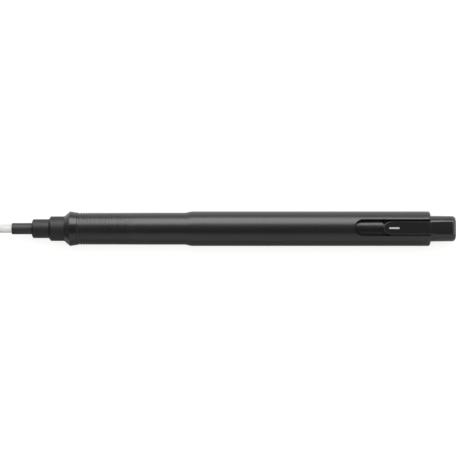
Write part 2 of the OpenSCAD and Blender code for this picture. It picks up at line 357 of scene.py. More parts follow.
def mark_wear(piece: Piece, gain: float = 4.0, plain: float = 0.1, big_face: float = 0.4) -> Piece:
    """Store on each vertex how much handling has polished it: 1 on outward edges, 0 on plain faces.

    Args:
        piece: A finished piece.
        gain: How fast the value grows as an edge gets sharper.
        plain: Value that a plain round wall would get, which is taken off again.
        big_face: Faces over this many square millimetres stay at 0, so that no edge's value spreads there.

    Returns:
        The piece.
    """
    mesh = piece.data
    normals = [v.normal.copy() for v in mesh.vertices]
    total, count = [0.0] * len(normals), [0] * len(normals)
    for edge in mesh.edges:
        for a, b in (edge.vertices, reversed(edge.vertices)):
            away = (mesh.vertices[a].co - mesh.vertices[b].co).normalized()
            total[a] += away.dot(normals[a])
            count[a] += 1
    wear = [min(1.0, max(0.0, gain * t / max(n, 1) - plain)) for t, n in zip(total, count)]
    for face in mesh.polygons:
        if face.area > big_face * MM * MM:
            for vertex in face.vertices:
                wear[vertex] = 0.0
    # On the button this value also places a painted highlight on the outward edges.
    attribute = mesh.attributes.new(WEAR, "FLOAT", "POINT")
    attribute.data.foreach_set("value", wear)
    return piece


# Finishes


def linear(code: str, factor: float = 1.0) -> tuple[float, float, float, float]:
    """Turn an sRGB hex colour into the linear one that a shader takes.

    Args:
        code: Colour as #rrggbb.
        factor: How many times as much light the linear colour gives back.

    Returns:
        Linear red, green, blue and an alpha of 1.
    """
    parts = [int(code[i:i + 2], 16) / 255 for i in (1, 3, 5)]
    return (*[(p / 12.92 if p <= 0.04045 else ((p + 0.055) / 1.055) ** 2.4) * factor for p in parts], 1.0)


def add(tree: Tree, kind: str, links: dict | None = None, **settings: object) -> Node:
    """Add a node with its settings and links.

    Args:
        tree: Node tree that gets the node.
        kind: Blender's name of the node's kind.
        links: Output sockets by the name or number of the input that each one feeds.
        settings: Values by the node's property, or by input number as in_0 or input name as in_Scale.

    Returns:
        The new node.
    """
    made = tree.nodes.new(kind)
    for key, value in settings.items():
        if key.startswith("in_"):
            name = key[3:].replace("_", " ")
            made.inputs[int(name) if name.isdigit() else name].default_value = value
        else:
            setattr(made, key, value)
    for key, socket in (links or {}).items():
        tree.links.new(socket, made.inputs[key])
    return made


def new_material(name: str, **values: object) -> tuple[Material, Tree, Node]:
    """Start a material.

    Args:
        name: The material's name.
        values: What is the same all over, by the name of the main shader's own socket, with _ for a space.

    Returns:
        The material, its node tree and its main shader.
    """
    material = bpy.data.materials.new(name)
    material.use_nodes = True
    tree = material.node_tree
    shader = tree.nodes["Principled BSDF"]
    for key, value in values.items():
        shader.inputs[key.replace("_", " ")].default_value = value
    return material, tree, shader


def pen_space(tree: Tree, stretch: Point) -> Socket:
    """Coordinates that a pattern on the pen is drawn in.

    Args:
        tree: The material's node tree.
        stretch: Size of one cell of the pattern along, across and up the pen, in millimetres.

    Returns:
        The socket with the coordinates, which grow by one for each cell.
    """
    here = add(tree, "ShaderNodeTexCoord").outputs["Object"]
    scale = tuple(1 / (s * MM) for s in stretch)
    return add(tree, "ShaderNodeMapping", {"Vector": here}, in_Scale=scale).outputs["Vector"]


def speckle(tree: Tree, cell: Point, low: float = 0.0, high: float = 1.0, detail: float = 2.0) -> Socket:
    """A noise pattern that runs between two values.

    Args:
        tree: The material's node tree.
        cell: Size of one cell along, across and up the pen, in millimetres.
        low: Value in the pattern's dark places.
        high: Value in its bright places.
        detail: Number of finer octaves on top of the first.

    Returns:
        The socket with the value.
    """
    noise = add(tree, "ShaderNodeTexNoise", {"Vector": pen_space(tree, cell)}, in_Scale=1.0, in_Detail=detail)
    return add(tree, "ShaderNodeMapRange", {"Value": noise.outputs["Fac"]}, in_From_Min=NOISE_SPAN[0],
               in_From_Max=NOISE_SPAN[1], in_To_Min=low, in_To_Max=high).outputs["Result"]


def fade(tree: Tree, start: float, end: float) -> Socket:
    """A value that falls along the pen.

    Args:
        tree: The material's node tree.
        start: Station up to which the value is 1.
        end: Station from which it is 0.

    Returns:
        The socket with the value.
    """
    along = add(tree, "ShaderNodeSeparateXYZ", {0: add(tree, "ShaderNodeTexCoord").outputs["Object"]})
    return add(tree, "ShaderNodeMapRange", {"Value": along.outputs["X"]}, in_From_Min=place((start, 0, 0)).x,
               in_From_Max=place((end, 0, 0)).x, in_To_Min=1.0, in_To_Max=0.0).outputs["Result"]


def surface(tree: Tree, shader: Node, colour: Socket, relief: Socket, lift: float,
            rough: Socket | None = None) -> None:
    """Feed a shader with its colour, its relief and, where that varies, its roughness.

    Args:
        tree: The material's node tree.
        shader: The material's main shader.
        colour: Socket with the colour.
        relief: Socket with the relief, from 0 in its pits to 1 on its tops.
        lift: Height of the relief, in millimetres.
        rough: Socket with the roughness, or None where it is the same all over.
    """
    bump = add(tree, "ShaderNodeBump", {"Height": relief}, in_Strength=1.0, in_Distance=lift * MM)
    tree.links.new(bump.outputs["Normal"], shader.inputs["Normal"])
    tree.links.new(colour, shader.inputs["Base Color"])
    if rough is not None:
        tree.links.new(rough, shader.inputs["Roughness"])


@dataclass(frozen=True)
class MouldedPlastic:
    """Black ABS from a spark-eroded mould: an even satin skin that hides fingerprints.

    The mould leaves a grit of about 0.05 mm, drawn four times as coarse because it wouldn't show. Hands
    polish the outward edges and rib crests, which turn a little smoother and lighter, and wiping leaves faint
    lengthwise streaks. Where the edge colour is set well above the skin, as on the button, the lighter edges
    are also a painted highlight. Up to the station dull_up_to the skin is duller, as from a blasted stretch
    of mould.
    """

    name: str
    colour: str
    rubbed_and_highlight: str
    roughness: float
    polish: float = 0.1
    polish_patch: Point = (1.6, 0.9, 0.9)
    polish_least: float = 0.55
    cloud: Point = (14.0, 6.0, 6.0)
    cloud_light: float = 1.16
    streak: Point = (24.0, 0.5, 0.5)
    streak_spread: float = 0.012
    grain: float = 0.2
    lift: float = 0.004
    ior: float = 1.53
    dull_up_to: float | None = None
    dull_fade: float = 0.1
    dulling: float = 0.24
    shine: float = 0.5
    shine_loss: float = 0.14

    def build(self) -> Material:
        """Make the material.

        Returns:
            The finished material.
        """
        material, tree, shader = new_material(self.name, IOR=self.ior)
        worn = add(tree, "ShaderNodeAttribute", attribute_name=WEAR).outputs["Fac"]
        patches = speckle(tree, self.polish_patch, self.polish_least, detail=3.0)
        patchy = add(tree, "ShaderNodeMath", {0: worn, 1: patches}, operation="MULTIPLY").outputs[0]
        skin = add(tree, "ShaderNodeMix", {0: speckle(tree, self.cloud)}, data_type="RGBA",
                   in_6=linear(self.colour), in_7=linear(self.colour, self.cloud_light)).outputs[2]
        # Outward edges mix toward the edge colour: real rubbing, and on the button also a painted highlight.
        colour = add(tree, "ShaderNodeMix", {0: patchy, 6: skin}, data_type="RGBA", in_7=linear(self.rubbed_and_highlight))
        streaks = speckle(tree, self.streak, self.roughness - self.streak_spread,
                          self.roughness + self.streak_spread)
        rough = add(tree, "ShaderNodeMath", {0: patchy, 2: streaks}, operation="MULTIPLY_ADD",
                    in_1=-self.polish)
        if self.dull_up_to is not None:
            dull = fade(tree, self.dull_up_to - self.dull_fade, self.dull_up_to + self.dull_fade)
            rough = add(tree, "ShaderNodeMath", {0: dull, 2: rough.outputs[0]}, operation="MULTIPLY_ADD",
                        in_1=self.dulling)
            level = add(tree, "ShaderNodeMath", {0: dull}, operation="MULTIPLY_ADD", in_1=-self.shine_loss,
                        in_2=self.shine)
            tree.links.new(level.outputs[0], shader.inputs["Specular IOR Level"])
        grain = speckle(tree, (self.grain,) * 3)
        surface(tree, shader, colour.outputs[2], grain, self.lift, rough.outputs[0])
        return material


@dataclass(frozen=True)
class DrawnPlastic:
    """Black tube that was drawn through a die: smoother than a moulding, with fine lines along it.

    The die leaves a line each 0.05 mm or so, drawn three times as coarse because it wouldn't show.
    """

    name: str
    colour: str
    roughness: float
    line: Point = (30.0, 0.16, 0.16)
    line_rough: float = 0.06
    cloud: Point = (9.0, 5.0, 5.0)
    cloud_light: float = 1.2
    lift: float = 0.002
    ior: float = 1.53

    def build(self) -> Material:
        """Make the material.

        Returns:
            The finished material.
        """
        material, tree, shader = new_material(self.name, IOR=self.ior)
        lines = speckle(tree, self.line)
        rough = add(tree, "ShaderNodeMath", {0: lines}, operation="MULTIPLY_ADD", in_1=self.line_rough,
                    in_2=self.roughness)
        colour = add(tree, "ShaderNodeMix", {0: speckle(tree, self.cloud)}, data_type="RGBA",
                     in_6=linear(self.colour), in_7=linear(self.colour, self.cloud_light))
        surface(tree, shader, colour.outputs[2], lines, self.lift, rough.outputs[0])
        return material


@dataclass(frozen=True)
class LacqueredBrass:
    """Thin brass tube under sprayed black lacquer: softer and greyer than the mouldings.

    The spray leaves a faint orange peel of about half a millimetre, and the lacquer wears thin on the rim,
    where the brass warms its black.
    """

    name: str
    lacquer: str
    brass: str
    roughness: float
    rough_patch: Point = (3.0, 1.5, 1.5)
    rough_spread: float = 0.03
    worn_patch: float = 0.5
    worn_most: float = 0.3
    peel: float = 0.5
    lift: float = 0.006
    ior: float = 1.5

    def build(self) -> Material:
        """Make the material.

        Returns:
            The finished material.
        """
        material, tree, shader = new_material(self.name, IOR=self.ior)
        worn = add(tree, "ShaderNodeAttribute", attribute_name=WEAR).outputs["Fac"]
        patches = speckle(tree, (self.worn_patch,) * 3, 0.0, self.worn_most, detail=3.0)
        thin = add(tree, "ShaderNodeMath", {0: worn, 1: patches}, operation="MULTIPLY").outputs[0]
        colour = add(tree, "ShaderNodeMix", {0: thin}, data_type="RGBA", in_6=linear(self.lacquer),
                     in_7=linear(self.brass))
        rough = speckle(tree, self.rough_patch, self.roughness - self.rough_spread,
                        self.roughness + self.rough_spread)
        peel = speckle(tree, (self.peel,) * 3, detail=1.0)
        surface(tree, shader, colour.outputs[2], peel, self.lift, rough)
        return material


@dataclass(frozen=True)
class Vinyl:
    """Extruded white vinyl eraser: soft, dull and slightly see-through at its surface.

    The filler leaves pits of about 0.1 mm, drawn nearly twice as coarse so that they show, and the worn end
    carries a breath of graphite.
    """

    name: str
    colour: str
    graphite: str
    front: float
    roughness: float = 0.6
    mottle: Point = (2.5, 1.2, 1.2)
    mottle_shade: float = 0.94
    pit: float = 0.18
    lift: float = 0.008
    smudge: float = 1.2
    smudge_patch: Point = (0.5, 0.3, 0.3)
    smudge_most: float = 0.5
    glow: float = 0.25
    glow_depth: Point = (0.5, 0.45, 0.4)
    ior: float = 1.52

    def build(self) -> Material:
        """Make the material.

        Returns:
            The finished material.
        """
        material, tree, shader = new_material(
            self.name, IOR=self.ior, Roughness=self.roughness, Subsurface_Weight=self.glow,
            Subsurface_Radius=tuple(d * MM for d in self.glow_depth), Subsurface_Scale=1.0)
        near = fade(tree, self.front, self.front + self.smudge)
        patches = speckle(tree, self.smudge_patch, 0.0, self.smudge_most, detail=3.0)
        grubby = add(tree, "ShaderNodeMath", {0: near, 1: patches}, operation="MULTIPLY").outputs[0]
        skin = add(tree, "ShaderNodeMix", {0: speckle(tree, self.mottle, detail=3.0)}, data_type="RGBA",
                   in_6=linear(self.colour), in_7=linear(self.colour, self.mottle_shade)).outputs[2]
        colour = add(tree, "ShaderNodeMix", {0: grubby, 6: skin}, data_type="RGBA",
                     in_7=linear(self.graphite))
        surface(tree, shader, colour.outputs[2], speckle(tree, (self.pit,) * 3), self.lift)
        return material


@dataclass(frozen=True)
class TurnedMetal:
    """Bare metal off a lathe or a wire die: fine rings round the pen that break up the shine.

    The tool leaves a ring each 0.05 mm, drawn three times as coarse because it wouldn't show.
    """

    name: str
    colour: str
    roughness: float
    ring: Point = (0.15, 40.0, 40.0)
    ring_rough: float = 0.1
    tarnish: Point = (3.0, 2.0, 2.0)
    tarnish_shade: float = 0.8
    lift: float = 0.002

    def build(self) -> Material:
        """Make the material.

        Returns:
            The finished material.
        """
        material, tree, shader = new_material(self.name, Metallic=1.0)
        rings = speckle(tree, self.ring)
        rough = add(tree, "ShaderNodeMath", {0: rings}, operation="MULTIPLY_ADD", in_1=self.ring_rough,
                    in_2=self.roughness)
        colour = add(tree, "ShaderNodeMix", {0: speckle(tree, self.tarnish, detail=3.0)}, data_type="RGBA",
                     in_6=linear(self.colour), in_7=linear(self.colour, self.tarnish_shade))
        surface(tree, shader, colour.outputs[2], rings, self.lift, rough.outputs[0])
        return material


@dataclass(frozen=True)
class SoftMoulding:
    """Small plain moulding, of styrene, natural acetal or rubber: dull, with a fine even skin.

    The skin's grit is about 0.1 mm, drawn three times as coarse because it wouldn't show.
    """

    name: str
    colour: str
    shade: str
    roughness: float
    glow: float
    glow_depth: float = 0.6
    cloud: Point = (4.0, 2.0, 2.0)
    rough_patch: Point = (2.0, 1.0, 1.0)
    rough_spread: float = 0.04
    grain: float = 0.3
    lift: float = 0.005

    def build(self) -> Material:
        """Make the material.

        Returns:
            The finished material.
        """
        material, tree, shader = new_material(
            self.name, Subsurface_Weight=self.glow, Subsurface_Radius=(self.glow_depth * MM,) * 3,
            Subsurface_Scale=1.0)
        colour = add(tree, "ShaderNodeMix", {0: speckle(tree, self.cloud, detail=3.0)}, data_type="RGBA",
                     in_6=linear(self.colour), in_7=linear(self.shade))
        rough = speckle(tree, self.rough_patch, self.roughness - self.rough_spread,
                        self.roughness + self.rough_spread)
        surface(tree, shader, colour.outputs[2], speckle(tree, (self.grain,) * 3), self.lift, rough)
        return material


class Finish(Enum):
    """Every finish on the pen, from what the real piece is made of."""

    BARREL = MouldedPlastic("moulded_satin_abs_barrel", "#141415", "#272728", 0.335)
    NOSE = MouldedPlastic("moulded_satin_abs_nose", "#141415", "#29292a", 0.28, dull_up_to=15.95)
    # The button's edge colour is set well above its skin: real rubbing plus a painted highlight along the
    # tongue's bevel.
    BUTTON = MouldedPlastic("moulded_satin_abs_button", "#101011", "#3a3a3c", 0.3)
    CARRIER = DrawnPlastic("drawn_black_abs_tube", "#111112", 0.26)
    SLEEVE = LacqueredBrass("lacquered_brass_tube", "#1b1b1c", "#35322b", 0.54)
    DASH = SoftMoulding("inlaid_white_styrene", "#b4b3b0", "#a6a5a2", 0.5, 0.1)
    ERASER = Vinyl("extruded_white_vinyl", "#dad9d6", "#8d8d8f", -4.0)
    BRASS = TurnedMetal("turned_free_cutting_brass", "#d8b46a", 0.26)
    STEEL = TurnedMetal("drawn_spring_steel", "#b9babd", 0.3)
    ACETAL = SoftMoulding("moulded_natural_acetal", "#e4e5e0", "#d4d6d0", 0.38, 0.3)
    RUBBER = SoftMoulding("moulded_nitrile_rubber", "#1a1a1a", "#262626", 0.72, 0.0)


class Workshop:
    """Makes each finish once and fits finished pieces to the frame."""

    def __init__(self) -> None:
        """Start with no finish made."""
        self.made: dict[Finish, Material] = {}

    def material(self, finish: Finish) -> Material:
        """Give the material of a finish, made at its first use.

        Args:
            finish: The finish that is asked for.

        Returns:
            Its material.
        """
        if finish not in self.made:
            self.made[finish] = finish.value.build()
        return self.made[finish]

    def paint(self, piece: Piece, finish: Finish) -> None:
        """Give a piece one finish all over."""
        piece.data.materials.clear()
        piece.data.materials.append(self.material(finish))

    def fit(self, piece: Piece, finish: Finish, node: str) -> None:
        """Dress a new piece and let it stand for a node of the frame.

        Args:
            piece: The finished mesh.
            finish: What it is made of.
            node: Frame node that it stands for, and whose body it rides on.
        """
        self.paint(piece, finish)
        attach(piece, frame["nodes"][node]["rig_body"])
        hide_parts(node)
        log.info("%s stands for %s: %d faces", piece.name, node, len(piece.data.polygons))

    def dress(self, node: str, finish: Finish, slot: str) -> None:
        """Dress a node of the frame that keeps its own shape.

        Args:
            node: The frame node.
            finish: What it is made of.
            slot: Material slot in the record that the finish belongs to; not used.
        """
        piece = frame["nodes"][node]
        self.paint(piece, finish)
        log.info("%s keeps its shape, dressed as %s", node, finish.value.name)


# The pen's sub-assemblies


@dataclass
class Nose:
    """Nose moulding with its flared collar and screwed spigot, and the thin sleeve in its tip.

    Pairs give the length and the height of a slant, the start and the end of the seal's groove behind the
    seam, and for the screw the share of its pitch and of its depth.
    """

    sleeve_wall: float = 0.33
    sleeve_rim: float = 0.25
    sleeve_mouth: tuple[float, float] = (0.12, 0.06)
    sleeve_buffer: float = 0.3
    sleeve_sides: int = 80
    front_step: float = 2.85
    rear_step: float = 3.7
    front_slant: tuple[float, float] = (0.4, 0.68)
    rear_slant: float = 0.62
    front_step_length: float = 5.05
    step_buffer: float = 0.5
    rear_step_length: float = 4.4
    flare_length: float = 2.05
    flare_angle: float = 39.5
    collar: float = 5.2
    collar_land: float = 0.2
    collar_length: float = 2.1
    collar_rear: float = 4.875
    collar_ease: tuple[float, float] = (0.3, 0.045)
    seam_chamfer: float = 0.05
    edge_soft: float = 0.07
    spigot: float = 3.9
    spigot_chamfer: float = 0.3
    seal_groove: tuple[float, float] = (0.3, 1.06)
    seal_floor: float = 3.19
    thread_lead: float = 0.4
    thread_pitch: float = 0.75
    thread_depth: float = 0.22
    thread_shape: tuple[tuple[float, float], ...] = ((0.0, 0.0), (0.2, 0.0), (0.5, 1.0), (0.7, 1.0))
    mouth_gap: float = 0.2
    lip_bore: float = 1.45
    jaw_room: float = 2.6
    ring_room: float = 3.0
    ring_stop: float = 20.9

    def thread(self, start: float, end: float) -> Outline:
        """Crests and roots of the screw between two stations.

        Args:
            start: Station where the screw may begin.
            end: Station where it has to end.

        Returns:
            The outline of the screwed stretch.
        """
        turns = int((end - start) / self.thread_pitch)
        line: Outline = []
        for i in range(turns):
            at = start + i * self.thread_pitch
            line += [(at + along * self.thread_pitch, self.spigot - self.thread_depth * drop)
                     for along, drop in self.thread_shape]
        return line

    def moulding(self) -> Piece:
        """Model the nose moulding.

        Returns:
            The finished mesh.
        """
        front, rear = front_of("nose_cone"), rear_of("nose_cone")
        step = front + self.front_step_length
        flare = step + self.rear_step_length
        peak = flare + self.flare_length
        seam = peak + self.collar_length
        angle = math.radians(self.flare_angle)
        rise = self.collar - self.rear_step
        bend = (self.flare_length - rise / math.tan(angle)) / math.tan(angle / 2)
        groove = [seam + g for g in self.seal_groove]
        screw_end = rear - self.spigot_chamfer
        outline = [
            (front, self.mouth_gap + radius_of("tip_sleeve")),
            (front, self.front_step - self.front_slant[1]), (front + self.front_slant[0], self.front_step),
            (step - self.step_buffer, self.front_step), (step, self.front_step),
            (step + self.rear_slant, self.rear_step),
            *arc((flare, self.rear_step + bend), bend, -90, self.flare_angle - 90, steps=10),
            (peak - self.collar_land / 2, self.collar), (peak + self.collar_land / 2, self.collar),
            (seam - self.seam_chamfer - self.collar_ease[0], self.collar_rear + self.collar_ease[1]),
            (seam - self.seam_chamfer, self.collar_rear), (seam, self.collar_rear - self.seam_chamfer),
            (seam, self.spigot), (groove[0], self.spigot), (groove[0], self.seal_floor),
            (groove[1], self.seal_floor), (groove[1], self.spigot),
            *self.thread(groove[1] + self.thread_lead, screw_end),
            (screw_end, self.spigot), (rear, self.spigot - self.spigot_chamfer), (rear, self.ring_room),
            (self.ring_stop, self.ring_room), (self.ring_stop, self.jaw_room),
            (front_of("core_brake"), self.jaw_room), (front_of("core_brake"), self.lip_bore),
            (rear_of("tip_sleeve"), self.lip_bore), (rear_of("tip_sleeve"), radius_of("tip_sleeve")),
            (front + self.mouth_gap, radius_of("tip_sleeve")),
        ]
        piece = turned("nose_moulding", outline)
        bore = radius_of("tip_sleeve") + self.mouth_gap / 2
        soften(piece, self.edge_soft, 2, lambda p: p.x < seam + SLACK and off_axis(p) > bore)
        return mark_wear(settle(piece))

    def sleeve(self) -> Piece:
        """Model the thin sleeve that guides the eraser.

        Returns:
            The finished mesh.
        """
        outer, rear = radius_of("tip_sleeve"), rear_of("tip_sleeve")
        inner = outer - self.sleeve_wall
        outline = [
            (self.sleeve_mouth[0], inner), (0.0, inner + self.sleeve_mouth[1]),
            *arc((self.sleeve_rim, outer - self.sleeve_rim), self.sleeve_rim, 180, 90),
            (self.sleeve_rim + self.sleeve_buffer, outer), (rear, outer), (rear, inner),
            (2 * self.sleeve_buffer, inner),
        ]
        return mark_wear(turned("sleeve_tube", outline, self.sleeve_sides))

    def build(self, shop: Workshop) -> None:
        """Build both pieces and fit them.

        Args:
            shop: Where the pieces get their finishes and their places.
        """
        shop.fit(self.moulding(), Finish.NOSE, "nose_cone")
        shop.fit(self.sleeve(), Finish.SLEEVE, "tip_sleeve")


@dataclass
class Barrel:
    """Barrel with its ribbed grip, waist, ramp, long plain stretch and rear slot.

    Pairs give the share of a rib's pitch and of its groove's depth, the height and the distance off the axis
    from which the slot's edges are rounded, and the stations of the inner web.
    """

    radius: float = 5.2
    bore: float = 3.95
    waist: float = 4.8
    seam_chamfer: float = 0.08
    rib_margin: float = 0.35
    rib_pitch: float = 0.81
    rib_count: int = 26
    rib_rise: float = 0.03
    rib_depth: float = 0.2
    rib_shape: tuple[tuple[float, float], ...] = (
        (-0.19, 0.0), (0.19, 0.0), (0.22, 0.08), (0.28, 0.92),
        (0.31, 1.0), (0.69, 1.0), (0.72, 0.92), (0.78, 0.08),
    )
    waist_length: float = 10.7
    ramp_length: float = 2.55
    ramp_steps: int = 14
    buffer: float = 1.0
    rear_edge: float = 0.65
    rear_buffer: float = 0.6
    rear_chamfer: float = 0.2
    slot_width: float = 5.06
    slot_front: float = 102.8
    slot_soft: float = 0.05
    slot_rim: tuple[float, float] = (2.9, 4.25)
    web: tuple[float, float] = (28.9, 31.0)
    web_bore: float = 3.2
    sides: int = 128

    def ribs(self, start: float) -> Outline:
        """Flat-topped ribs between grooves that get shallower towards the waist.

        Args:
            start: Station of the first crest.

        Returns:
            The outline of the ribbed grip.
        """
        line: Outline = []
        for i in range(self.rib_count):
            left = 1 - i / self.rib_count
            crest, depth = self.waist + self.rib_rise * left, self.rib_depth * left
            line += [(start + (i + along) * self.rib_pitch, crest - depth * drop)
                     for along, drop in self.rib_shape]
        return line

    def ramp(self, start: float) -> Outline:
        """Soft S from the waist up to the full radius.

        Args:
            start: Station where the waist ends.

        Returns:
            The outline of the ramp.
        """
        half, steps = (self.radius - self.waist) / 2, self.ramp_steps
        return [
            (start + self.ramp_length * i / steps, self.waist + half * (1 - math.cos(math.pi * i / steps)))
            for i in range(steps + 1)
        ]

    def slot_tool(self, rear: float) -> Piece:
        """Shape that opens the slot, from its round front end to behind the barrel.

        Args:
            rear: Station of the barrel's rear end.

        Returns:
            The tool shape.
        """
        half = self.slot_width / 2
        round_end = arc((self.slot_front + half, 0), half, 90, 270, steps=40)
        line = [(s, y, 0.0) for s, y in [*round_end, (rear + REACH, -half), (rear + REACH, half)]]
        return prism("slot_tool", line, (0, 0, self.radius + REACH))

    def build(self, shop: Workshop) -> None:
        """Build the barrel and fit it.

        Args:
            shop: Where the piece gets its finish and its place.
        """
        seam, rear = front_of("barrel"), rear_of("barrel")
        grip = seam + self.rib_margin
        waist = grip + self.rib_count * self.rib_pitch
        ramp = waist + self.waist_length
        plain = ramp + self.ramp_length
        outline = [
            (seam, self.bore), (seam, self.waist - self.seam_chamfer), (seam + self.seam_chamfer, self.waist),
            *self.ribs(grip), (waist, self.waist), (waist + self.buffer, self.waist),
            (ramp - self.buffer, self.waist), *self.ramp(ramp), (plain + self.buffer, self.radius),
            (rear - self.rear_edge - self.rear_buffer, self.radius),
            *arc((rear - self.rear_edge, self.radius - self.rear_edge), self.rear_edge, 90, 0, steps=10),
            (rear, self.bore + self.rear_chamfer), (rear - self.rear_chamfer, self.bore),
            (self.web[1], self.bore), (self.web[1], self.web_bore), (self.web[0], self.web_bore),
            (self.web[0], self.bore),
        ]
        piece = turned("barrel_shell", outline, self.sides)
        carve(piece, self.slot_tool(rear), Cut.AWAY)
        half, front = self.slot_width / 2 + SLACK, self.slot_front - SLACK
        height, off = self.slot_rim
        soften(piece, self.slot_soft, 3,
               lambda p: p.x > front and abs(p.y) < half and p.z > height and off_axis(p) > off,
               sharper_than=30)
        shop.fit(mark_wear(settle(piece)), Finish.BARREL, "barrel")


@dataclass
class PushButton:
    """Push button with its flat and key tongue, the dash let into it, and the carrier tube ahead of it.

    The dash has its length, width and depth. The tongue's upper edge stays sharp over its last stretch,
    tongue_square, which runs on into the flat.
    """

    body: float = 3.87
    end: float = 3.8
    end_edge: float = 1.0
    spigot: float = 3.25
    bore: float = 2.45
    end_wall: float = 1.5
    body_front: float = 113.92
    front_chamfer: float = 0.1
    front_buffer: float = 0.4
    barrel_rear: float = 125.7
    end_buffer: float = 0.5
    sides: int = 128
    flat: float = 3.47
    flat_end: float = 3.33
    flat_runout: float = 1.15
    flat_lead: float = 0.4
    tongue: float = 4.12
    tongue_tip: float = 111.5
    tongue_end: float = 125.34
    tongue_square: float = 1.0
    tongue_root: float = 0.5
    tongue_soft: float = 0.4
    dash: tuple[float, float, float] = (3.08, 0.54, 0.25)
    dash_inset: float = 1.74
    dash_offset: float = -0.08
    dash_gap: float = 0.01
    dash_proud: float = 0.02
    dash_soft: float = 0.06
    carrier_wall: float = 0.6
    carrier_edge: float = 0.1
    carrier_buffer: float = 1.0
    wear_and_highlight_gain: float = 12.0
    wear_face: float = 3.0

    def tongue_block(self) -> Piece:
        """Model the key tongue, from its round tip to just inside the barrel's rear end.

        Returns:
            The block, its upper edge rounded except at its rear end.
        """
        half, front = self.tongue / 2, self.tongue_end - self.tongue_square
        tip = arc((self.tongue_tip + half, 0), half, 90, 270, steps=32)
        rim = [*tip, (self.tongue_end, -half), (self.tongue_end, half)]
        block = prism("tongue_block", [(s, y, self.tongue_root) for s, y in rim],
                      (0, 0, self.flat - self.tongue_root))
        return soften(block, self.tongue_soft, 4,
                      lambda p: p.z > self.flat - SLACK and (abs(p.y) > half - SLACK or p.x < front))

    def flat_tool(self, rear: float) -> Piece:
        """Shape above the flat, which curves down where the flat runs out at the button's end.

        Args:
            rear: Station of the button's end.

        Returns:
            The tool shape.
        """
        front, side = front_of("push_button") - REACH, self.body + REACH
        low = self.flat_end - self.flat_runout
        curve = arc((rear - self.flat_runout, low), self.flat_runout, 90, 0, steps=10)
        line = [(front, self.flat), (self.tongue_end + self.flat_lead, self.flat), *curve,
                (rear + REACH, low), (rear + REACH, side), (front, side)]
        return prism("flat_tool", [(s, -side, z) for s, z in line], (0, 2 * side, 0))

    def dash_block(self, name: str, clearance: float, top: float) -> Piece:
        """Model the dash, or the pocket that it sits in.

        Args:
            name: Name of the block.
            clearance: How much wider than the dash the block is on each side.
            top: Height of the block's top above the axis.

        Returns:
            The block.
        """
        length, width, depth = self.dash
        start, half = self.tongue_tip + self.dash_inset, width / 2 + clearance
        near, far = self.dash_offset - half, self.dash_offset + half
        corners = [(start - clearance, far), (start - clearance, near),
                   (start + length + clearance, near), (start + length + clearance, far)]
        floor = self.flat - depth
        return prism(name, [(s, y, floor) for s, y in corners], (0, 0, top - floor))

    def moulding(self) -> Piece:
        """Model the button, its tongue and its spigot in one moulding.

        Returns:
            The finished mesh.
        """
        front, rear = front_of("push_button"), rear_of("push_button")
        floor = rear - self.end_wall
        shoulder, chamfer = self.body_front, self.front_chamfer
        outline = [
            (front, self.bore), (front, self.spigot - chamfer), (front + chamfer, self.spigot),
            (shoulder, self.spigot), (shoulder, self.body - chamfer), (shoulder + chamfer, self.body),
            (shoulder + self.front_buffer, self.body), (self.barrel_rear, self.body),
            (rear - self.end_edge - self.end_buffer, self.end),
            *arc((rear - self.end_edge, self.end - self.end_edge), self.end_edge, 90, 0, steps=12),
            (rear, 0.0), (floor, 0.0), (floor, self.bore),
        ]
        piece = turned("button_moulding", outline, self.sides)
        carve(piece, self.flat_tool(rear), Cut.AWAY)
        carve(piece, self.tongue_block(), Cut.ONTO)
        carve(piece, self.dash_block("pocket_tool", 0.0, self.flat + REACH), Cut.AWAY)
        take(piece)
        close_up()
        # The high gain gives the button's edges, the tongue's bevel among them, the full light edge colour:
        # rubbing plus a painted highlight.
        return mark_wear(settle(piece), self.wear_and_highlight_gain, big_face=self.wear_face)

    def carrier(self) -> Piece:
        """Model the dark tube that shows in the slot.

        Returns:
            The finished mesh.
        """
        front, rear, outer = front_of("carrier_tube"), rear_of("carrier_tube"), radius_of("carrier_tube")
        inner = outer - self.carrier_wall
        return mark_wear(turned("carrier_sleeve", [
            (front, inner), (front, outer - self.carrier_edge), (front + self.carrier_edge, outer),
            (rear - self.carrier_buffer, outer), (rear, outer), (rear, inner),
        ]))

    def build(self, shop: Workshop) -> None:
        """Build the three pieces and fit them.

        Args:
            shop: Where the pieces get their finishes and their places.
        """
        shop.fit(self.moulding(), Finish.BUTTON, "push_button")
        shop.fit(self.carrier(), Finish.CARRIER, "carrier_tube")
        dash = self.dash_block("dash_inlay", -self.dash_gap, self.flat + self.dash_proud)
        soften(dash, self.dash_soft, 2, lambda p: True)
        shop.fit(mark_wear(settle(dash)), Finish.DASH, "index_mark")


@dataclass
class EraserCore:
    """Round vinyl stick that the pen feeds, blunted at its front end by use.

    Its buffers are measured from that end.
    """

    worn_edge: float = 0.45
    crown: float = 0.08
    crown_quarter: float = 0.02
    buffers: tuple[float, float] = (2.0, 7.0)
    rear_edge: float = 0.15
    sides: int = 72

    def build(self, shop: Workshop) -> None:
        """Build the stick and fit it.

        Args:
            shop: Where the piece gets its finish and its place.
        """
        front, rear, radius = front_of("eraser_core"), rear_of("eraser_core"), radius_of("eraser_core")
        outline = [
            (front, 0.0), (front + self.crown_quarter, (radius - self.worn_edge) / 2),
            *arc((front + self.crown + self.worn_edge, radius - self.worn_edge), self.worn_edge, 180, 90,
                 steps=10),
            *((front + b, radius) for b in self.buffers),
            (rear - self.rear_edge, radius), (rear, radius - self.rear_edge), (rear, 0.0),
        ]
        stick = mark_wear(turned("eraser_stick", outline, self.sides))
        shop.fit(stick, Finish.ERASER, "eraser_core")


